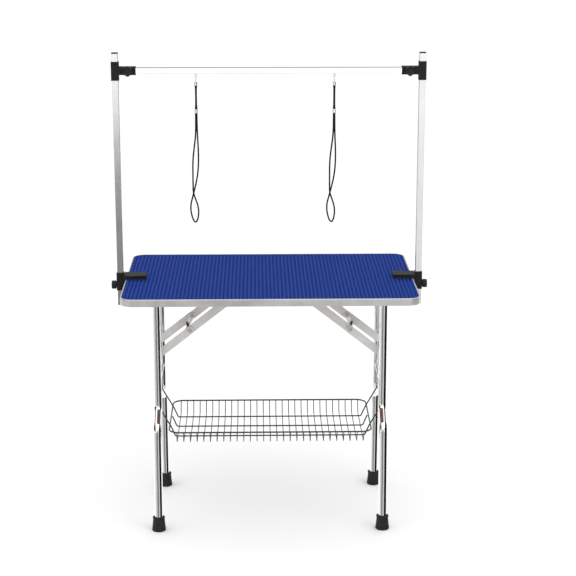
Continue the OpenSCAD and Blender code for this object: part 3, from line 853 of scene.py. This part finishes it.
def grip_profile(radius, height):
    """A moulded knob: rolled back edge, straight fluted rim, rolled front edge and a dished face."""
    return [(0, 0), (radius * 0.55, 0), (radius * 0.9, 0.0004), (radius, 0.0018), (radius, height - 0.0026),
            (radius * 0.965, height - 0.0010), (radius * 0.88, height), (radius * 0.66, height),
            (radius * 0.60, height - 0.0006), (radius * 0.56, height - 0.0018),
            (radius * 0.3, height - 0.0022),
            (radius * 0.27, height - 0.0010), (radius * 0.2, height - 0.0006), (0, height - 0.0005)]


def build_knob(node, body, outward, stud_length, looks):
    """A fluted knob on its stud. Outward is the way that its face looks."""
    low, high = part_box(node)
    outward = Vector(outward)
    centre = (low + high) / 2
    half_length = abs((high - low).dot(outward)) / 2
    across = sorted(high[i] - low[i] for i in range(3) if abs(outward[i]) < 0.5)
    radius = across[1] / 2
    face = centre - outward * (half_length - stud_length)
    height = 2 * half_length - stud_length

    def build(shape):
        place = facing(face, outward)
        add_fluted(shape, grip_profile(radius, height), place)
        add_lathe(shape, [(0, -stud_length), (0.0034, -stud_length), (0.004, 0.0006 - stud_length),
                          (0.004, 0.001)],
                  place, 24)

    name = f"{node}_fluted"
    new_piece(name, build, body, "knob_plastic", looks["knob"], (node,))


def build_overhead(looks):
    for side, sign in SIDES.items():
        build_clamp(side, looks)
        socket_low, socket_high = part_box(f"socket_knob_{side}")
        build_knob(f"socket_knob_{side}", f"socket_knob_{side}", (sign, 0, 0),
                   socket_high.x - socket_low.x - 0.015, looks)
        rail_low, rail_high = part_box(f"rail_knob_{side}")
        build_knob(f"rail_knob_{side}", f"rail_knob_{side}", (0, -1, 0), rail_high.y - rail_low.y - 0.015,
                   looks)
        softened(f"upright_{side}", "upright_steel", looks["upright"], 0.0010, 3)
        softened(f"upright_cap_{side}", "knob_plastic", looks["knob"], 0.0008, 3)
        softened(f"tee_bracket_{side}", "clamp_iron", looks["clamp"], 0.0018, 3)
    softened("cross_rail", "chrome", looks["chrome"], 0.0010, 3)


# ---------------------------------------------------------------- nooses

def noose_axis(side):
    """Where a noose hangs, as x and y."""
    low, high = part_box(f"noose_hook_{side}")
    return (low.x + high.x) / 2, (low.y + high.y) / 2


def build_eyes(looks):
    """Wire eyes screwed into the rail's underside."""
    low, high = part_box("rail_eyes")
    wire = 0.0012
    ring = 0.004
    centre_z = low.z + ring + wire

    def build(shape):
        for side in SIDES:
            x, y = noose_axis(side)
            loop = [(x + ring * math.cos(math.tau * k / 32), y, centre_z + ring * math.sin(math.tau * k / 32))
                    for k in range(32)]
            add_tube(shape, loop, wire, 12, closed=True)
            place = Matrix.Translation((x, y, 0))
            add_lathe(shape, [(0, centre_z + ring), (0.0015, centre_z + ring), (0.0015, high.z - 0.0006),
                              (0.0026, high.z - 0.0006), (0.0026, high.z), (0, high.z)], place, 20)

    new_piece("rail_eyes_wire", build, "rail", "chrome", looks["chrome"],
               ("rail_eyes",))


def build_noose(side, looks):
    """A wire link, its crimped barrel, the braided cord and the slider that sets the loop."""
    x, y = noose_axis(side)
    low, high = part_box(f"noose_hook_{side}")
    wire = 0.0012
    barrel_radius = (high.x - low.x) / 2
    barrel_top = low.z + 0.011
    link_top = high.z - wire

    def build_link(shape):
        wide = 0.004
        corners = [(x, y - wide, link_top), (x, y + wide, link_top), (x, y + wide, barrel_top),
                   (x, y - wide, barrel_top)]
        add_tube(shape, rounded_path(corners, 0.0022, 5, closed=True), wire, 12, closed=True)
        place = Matrix.Translation((x, y, low.z))
        length = barrel_top - low.z
        r = barrel_radius
        profile = [(0, 0), (r * 0.86, 0), (r, 0.0008), (r, 0.0022), (r * 0.93, 0.0030), (r * 0.93, 0.0038),
                   (r, 0.0046), (r, length - 0.0030), (r * 0.95, length - 0.0012),
                   (r * 0.75, length - 0.0002),
                   (0, length)]
        add_lathe(shape, profile, place, 36)

    name = f"noose_link_{side}"
    new_piece(name, build_link, f"noose_{side}", "chrome", looks["chrome"],
               (f"noose_hook_{side}",))

    slider_low, slider_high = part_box(f"noose_slider_{side}")
    end_radius = (slider_high.y - slider_low.y) / 2

    def build_slider(shape):
        rings = []
        height = slider_high.z - slider_low.z
        profile = [(0.9, 0), (1.0, 0.0007), (1.0, 0.0040), (0.93, 0.0048), (0.93, height - 0.0048),
                   (1.0, height - 0.0040), (1.0, height - 0.0007), (0.9, height)]
        count = 48
        inner_radius = CORD_DIAMETER / 2 + 0.0003
        for radius_share, rise in [*profile, (None, height), (None, 0)]:
            radius = inner_radius if radius_share is None else end_radius * radius_share
            ring = []
            for k in range(count):
                angle = math.tau * k / count
                shift = STRAND_OFFSET if math.cos(angle) >= 0 else -STRAND_OFFSET
                ring.append(shape.verts.new((x + shift + radius * math.cos(angle),
                                             y + radius * math.sin(angle),
                                             slider_low.z + rise)))
            rings.append(ring)
        for here, there in zip(rings, rings[1:] + rings[:1]):
            for k in range(count):
                n = (k + 1) % count
                shape.faces.new((here[k], here[n], there[n], there[k]))

    name = f"noose_slider_crimped_{side}"
    slider = new_piece(name, build_slider, f"slider_{side}", "chrome", looks["chrome"],
                        (f"noose_slider_{side}",))

    drop = low.z - NOOSE_ROUTE[0][2]
    route = smooth_route([(x + px, y + py, pz + drop) for px, py, pz in NOOSE_ROUTE])

    def build_cord(shape):
        add_tube(shape, route, CORD_DIAMETER / 2, 14)

    name = f"noose_rope_{side}"
    rope = new_piece(name, build_cord, f"noose_{side}", "noose_cord", looks["cord"],
                      (f"noose_cord_{side}",), smooth_angle=60)


# ---------------------------------------------------------------- the wire basket

RIM_WIRE = 0.0025
LONG_WIRE = 0.0022
CROSS_WIRE = 0.0015


def build_basket(looks):
    """One welded cage: the rim, the cross wires bent up to it, and three long wires, two with end hooks."""
    rim_low, rim_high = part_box("basket_rim")
    floor_low, floor_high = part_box("basket_floor")
    _, hang_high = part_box("basket_hangers")
    rim_z = (rim_low.z + rim_high.z) / 2
    rim_x = rim_high.x - RIM_WIRE
    rim_y = rim_high.y - RIM_WIRE
    corner = 0.035
    cross_z = floor_low.z + CROSS_WIRE
    long_z = floor_high.z - LONG_WIRE
    floor_x = floor_high.x
    floor_y = floor_high.y
    count = 29
    pitch = 0.0213
    hook_y = 0.0945
    leg_x = 0.358

    def build_rim(shape):
        corners = [(rim_x, rim_y, rim_z), (-rim_x, rim_y, rim_z), (-rim_x, -rim_y, rim_z),
                   (rim_x, -rim_y, rim_z)]
        add_tube(shape, rounded_path(corners, corner, 12, closed=True), RIM_WIRE, 14, closed=True)

    def build_cross(shape):
        top = rim_z - 0.0008
        side_y = rim_y - RIM_WIRE - CROSS_WIRE + 0.0004
        for i in range(count):
            x = (i - (count - 1) / 2) * pitch
            corners = [(x, -side_y, top), (x, -floor_y - 0.002, cross_z), (x, floor_y + 0.002, cross_z),
                       (x, side_y, top)]
            add_tube(shape, rounded_path(corners, 0.007, 6), CROSS_WIRE, 10)

    def build_long(shape):
        for y in (-hook_y, 0, hook_y):
            end_x = rim_x - RIM_WIRE - LONG_WIRE + 0.0006
            if y == 0:
                corners = [(-end_x, y, rim_z), (-floor_x - 0.002, y, long_z), (floor_x + 0.002, y, long_z),
                           (end_x, y, rim_z)]
                add_tube(shape, rounded_path(corners, 0.008, 6), LONG_WIRE, 12)
                continue
            outward = math.copysign(1, y)
            top = hang_high.z - LONG_WIRE
            hook_x = (hang_high.x + leg_x) / 2
            right = [(floor_x + 0.002, y, long_z), (end_x, y, rim_z - 0.002), (hook_x, y, top),
                     (hook_x, outward * hang_high.y, top)]
            left = [(-px, py, pz) for px, py, pz in reversed(right)]
            add_tube(shape, rounded_path(left + right, 0.006, 6), LONG_WIRE, 12)

    for name, build, nodes in (
            ("basket_rim_wire", build_rim, ("basket_rim",)),
            ("basket_cross_wires", build_cross, ("basket_floor", "basket_front", "basket_back")),
            ("basket_long_wires", build_long, ("basket_end_left", "basket_end_right", "basket_hangers"))):
        new_piece(name, build, "basket", "basket_wire", looks["wire"], nodes, smooth_angle=60)


# ---------------------------------------------------------------- floor and light

def build_stage():
    """A white floor, a bright even sky, two soft lamps, and toned cards that only reflections show."""
    scene = bpy.context.scene
    scene.view_settings.view_transform = "Standard"
    world = bpy.data.worlds.new("studio")
    world.use_nodes = True
    world.node_tree.nodes["Background"].inputs["Color"].default_value = (1, 1, 1, 1)
    world.node_tree.nodes["Background"].inputs["Strength"].default_value = 1.15
    scene.world = world

    def plane(name, corners, tone, reflections_only=True, fade=None):
        """A flat card; fade = (height where it begins, height where it ends) lightens it upwards."""
        mesh = bpy.data.meshes.new(name)
        mesh.from_pydata(corners, [], [(0, 1, 2, 3)])
        card = bpy.data.objects.new(name, mesh)
        scene.collection.objects.link(card)
        look = surface(f"{name}_look", (tone, tone), (0.9, 1.0), bump=0, Specular_IOR_Level=0.0)
        mesh.materials.append(look)
        if fade:
            nodes, links = look.node_tree.nodes, look.node_tree.links
            where = nodes.new("ShaderNodeTexCoord")
            parts = nodes.new("ShaderNodeSeparateXYZ")
            rise = nodes.new("ShaderNodeMapRange")
            rise.inputs["From Min"].default_value, rise.inputs["From Max"].default_value = fade
            tint = nodes.new("ShaderNodeMix")
            tint.data_type = "RGBA"
            tint.inputs["A"].default_value = (*tone, 1)
            tint.inputs["B"].default_value = (0.85, 0.85, 0.85, 1)
            links.new(where.outputs["Object"], parts.inputs["Vector"])
            links.new(parts.outputs["Z"], rise.inputs["Value"])
            links.new(rise.outputs["Result"], tint.inputs["Factor"])
            links.new(tint.outputs["Result"], nodes["Principled BSDF"].inputs["Base Color"])
        if reflections_only:
            card.visible_camera = False
            card.visible_diffuse = False
            card.visible_shadow = False
            card.visible_transmission = False
        return card

    def wall_facing_y(name, y, x_range, z_range, tone, fade=None):
        (x0, x1), (z0, z1) = x_range, z_range
        plane(name, [(x0, y, z0), (x1, y, z0), (x1, y, z1), (x0, y, z1)], tone, fade=fade)

    wide, deep = 40, -3
    floor = plane("floor", [(-wide, -wide, 0), (wide, -wide, 0), (wide, wide, 0), (-wide, wide, 0)],
                  (0.9, 0.9, 0.9), reflections_only=False)
    floor.visible_glossy = False
    plane("side_flag_right", [(3, -4.2, deep), (3, 0.9, deep), (3, 0.9, 3.5), (3, -4.2, 3.5)],
          (0.01, 0.01, 0.01))
    plane("side_flag_left", [(-3.3, -3, deep), (-3.3, -0.6, deep), (-3.3, -0.6, 0), (-3.3, -3, 0)],
          (0.68, 0.68, 0.67))
    plane("bend_flag_left", [(-3.3, -3, 0.3), (-3.3, 0.9, 0.3), (-3.3, 0.9, 3.5), (-3.3, -3, 3.5)],
          (0.02, 0.02, 0.02))
    wall_facing_y("bend_flag_middle", -3, (-0.55, 0.15), (0, 0.95), (0.13, 0.13, 0.13))
    wall_facing_y("bend_flag_right", -3, (0.15, 0.65), (0, 0.95), (0.45, 0.45, 0.45))
    wall_facing_y("leg_flag_far_left", -3, (-3.3, -1.1), (deep, 0), (0.42, 0.42, 0.41))
    wall_facing_y("leg_flag_middle", -3.01, (-1.1, 0.15), (deep, 0), (0.13, 0.13, 0.13))
    wall_facing_y("leg_flag_right", -3, (0.15, 2.1), (deep, 0), (0.55, 0.55, 0.54))
    wall_facing_y("upright_flag_left", -3, (-1.3, -0.55), (0, 0.9), (0.27, 0.265, 0.255), fade=(0.50, 0.98))
    wall_facing_y("upright_flag_right", -3, (0.70, 0.95), (0, 0.7), (0.80, 0.80, 0.79), fade=(0.25, 0.6))
    wall_facing_y("upright_flag_back", 3, (-0.7, 0.7), (0, 1.3), (0.30, 0.30, 0.30))
    wall_facing_y("rail_flag", 3, (-1.6, 1.6), (1.55, 2.4), (0.06, 0.06, 0.06))

    def lamp(name, place, aim, size, power):
        data = bpy.data.lights.new(name, "AREA")
        data.shape = "SQUARE"
        data.size = size
        data.energy = power
        light = bpy.data.objects.new(name, data)
        light.location = place
        light.rotation_euler = (Vector(aim) - Vector(place)).to_track_quat("-Z", "Y").to_euler()
        scene.collection.objects.link(light)

    lamp("key", (2.4, -2.6, 3.4), (0, 0, 0.7), 3.0, 40)
    lamp("fill", (-2.6, -1.4, 3.0), (0, 0, 0.7), 3.0, 12)


place_camera()
looks = make_looks()
for noose_side in SIDES:
    build_noose(noose_side, looks)
build_top(looks)
build_legs(looks)
build_braces(looks)
build_overhead(looks)
build_eyes(looks)
build_basket(looks)
build_stage()
